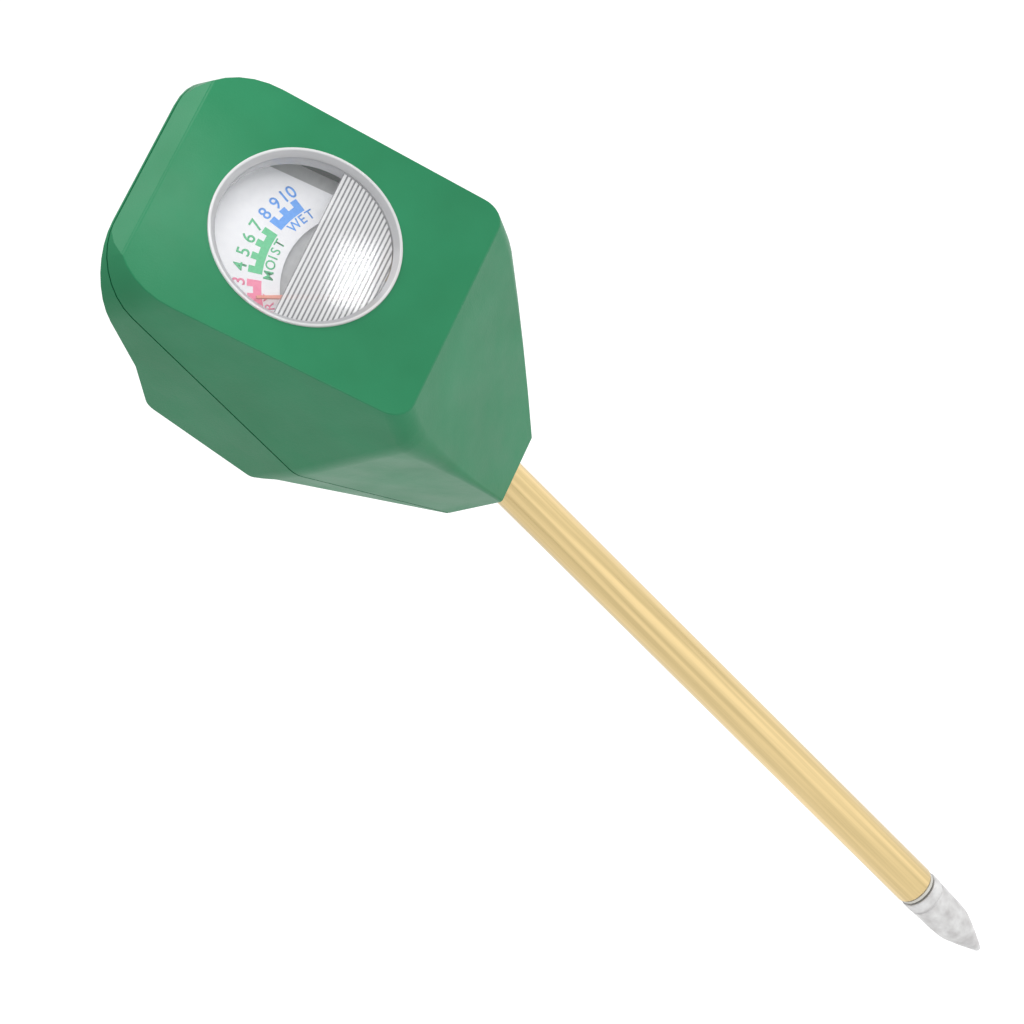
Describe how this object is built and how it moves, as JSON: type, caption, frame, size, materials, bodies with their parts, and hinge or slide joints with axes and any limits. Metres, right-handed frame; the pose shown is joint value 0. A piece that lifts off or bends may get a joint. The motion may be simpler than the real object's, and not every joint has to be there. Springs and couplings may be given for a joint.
{
  "type": "soil moisture meter",
  "caption": "Probe-type soil moisture meter: a faceted green two-shell head with a round dial window, on a slim brass probe with a pointed aluminium tip.",
  "frame": {"origin": "on the probe's axis, in the plane of the flat bottom end of the head", "axes": "+Z along the probe from its tip up into the head, -Y towards the reader, +X to the reader's right"},
  "size_m": [0.0504, 0.0504, 0.2415],
  "materials": {
    "green_plastic": "satin moulded plastic with a fine spark texture",
    "clear_plastic": "clear polished plastic, reeded over its lower half",
    "dial_card": "white card with a printed scale",
    "grey_plastic": "matt grey moulded plastic",
    "pale_plastic": "natural moulded plastic",
    "tube_brass": "drawn brass with long streaks",
    "tip_aluminium": "dull cast and turned aluminium",
    "works_brass": "stamped brass",
    "works_steel": "bright turned steel",
    "works_iron": "plated soft iron",
    "magnet": "sintered magnet",
    "coil_copper": "varnished copper wire",
    "coil_aluminium": "thin folded aluminium",
    "needle_paint": "orange paint on thin aluminium",
    "red_sleeve": "soft insulated wire",
    "black_sleeve": "soft insulated wire"
  },
  "bodies": {
    "case": {"front_shell": "green_plastic", "rear_shell": "green_plastic", "window_lens": "clear_plastic", "probe_tube": "tube_brass", "tip_insulator": "pale_plastic", "probe_tip": "tip_aluminium", "tube_clip": "works_brass", "dial_plate": "dial_card", "meter_frame": "grey_plastic", "return_ring": "works_iron", "core_magnet": "magnet", "upper_core_spacer": "pale_plastic", "lower_core_spacer": "pale_plastic", "front_bridge": "works_brass", "rear_bridge": "works_brass", "front_jewel_screw": "works_steel", "rear_jewel_screw": "works_steel", "zero_arm": "works_steel", "front_hairspring": "works_brass", "rear_hairspring": "works_brass", "dry_stop": "works_steel", "wet_stop": "works_steel", "left_dial_screw": "works_steel", "right_dial_screw": "works_steel", "tube_terminal": "works_brass", "tip_terminal": "works_brass", "tube_lead": "red_sleeve", "tip_lead": "black_sleeve"},
    "moving_coil": {"pointer": "needle_paint", "coil_former": "coil_aluminium", "coil_winding": "coil_copper", "front_pivot": "works_steel", "rear_pivot": "works_steel", "balance_weight": "works_brass"}
  },
  "joints": [
    {"name": "needle_swing", "type": "hinge", "parent": "case", "child": "moving_coil", "pos_m": [0, -0.01076, 0.0469], "axis": [0, -0.8554, 0.518], "range_deg": [-60.8, 6.2], "stiffness_Nm_per_rad": 0.00001}
  ]
}
